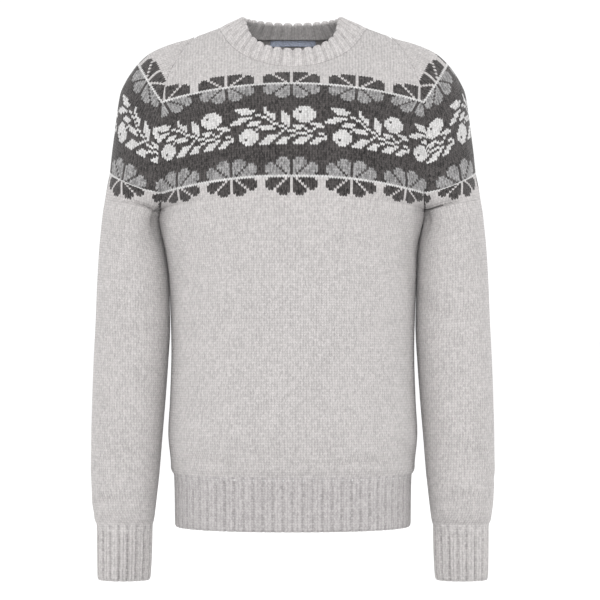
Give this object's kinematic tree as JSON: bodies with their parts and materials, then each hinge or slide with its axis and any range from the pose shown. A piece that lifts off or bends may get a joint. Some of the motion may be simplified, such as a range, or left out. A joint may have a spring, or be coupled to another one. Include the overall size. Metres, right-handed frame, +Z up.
{
  "type": "sweater",
  "caption": "Crew-neck knitted pullover, worn and hollow, with ribbed hem, cuffs and collar and a yoke band of flowers and leaves.",
  "frame": {"origin": "on the line between the two shoulder seams, level with their ends at the neck, where the shoulders carry the garment", "axes": "+Z up the body, +X towards the picture's right, +Y towards the back"},
  "size_m": [0.5466, 0.251, 0.7656],
  "materials": {
    "front": "brushed light grey wool in stocking stitch",
    "back": "brushed light grey wool in stocking stitch",
    "sleeve_left": "brushed light grey wool in stocking stitch",
    "sleeve_right": "brushed light grey wool in stocking stitch",
    "hem_rib_front": "ribbed light grey wool",
    "hem_rib_back": "ribbed light grey wool",
    "cuff_left": "ribbed light grey wool",
    "cuff_right": "ribbed light grey wool",
    "collar": "ribbed light grey wool",
    "neck_label": "woven blue-grey label, bare"
  },
  "bodies": {
    "root": {"front": "front", "back": "back", "sleeve_left": "sleeve_left", "sleeve_right": "sleeve_right", "hem_rib_front": "hem_rib_front", "hem_rib_back": "hem_rib_back", "cuff_left": "cuff_left", "cuff_right": "cuff_right", "collar": "collar", "neck_label": "neck_label"}
  },
  "joints": []
}
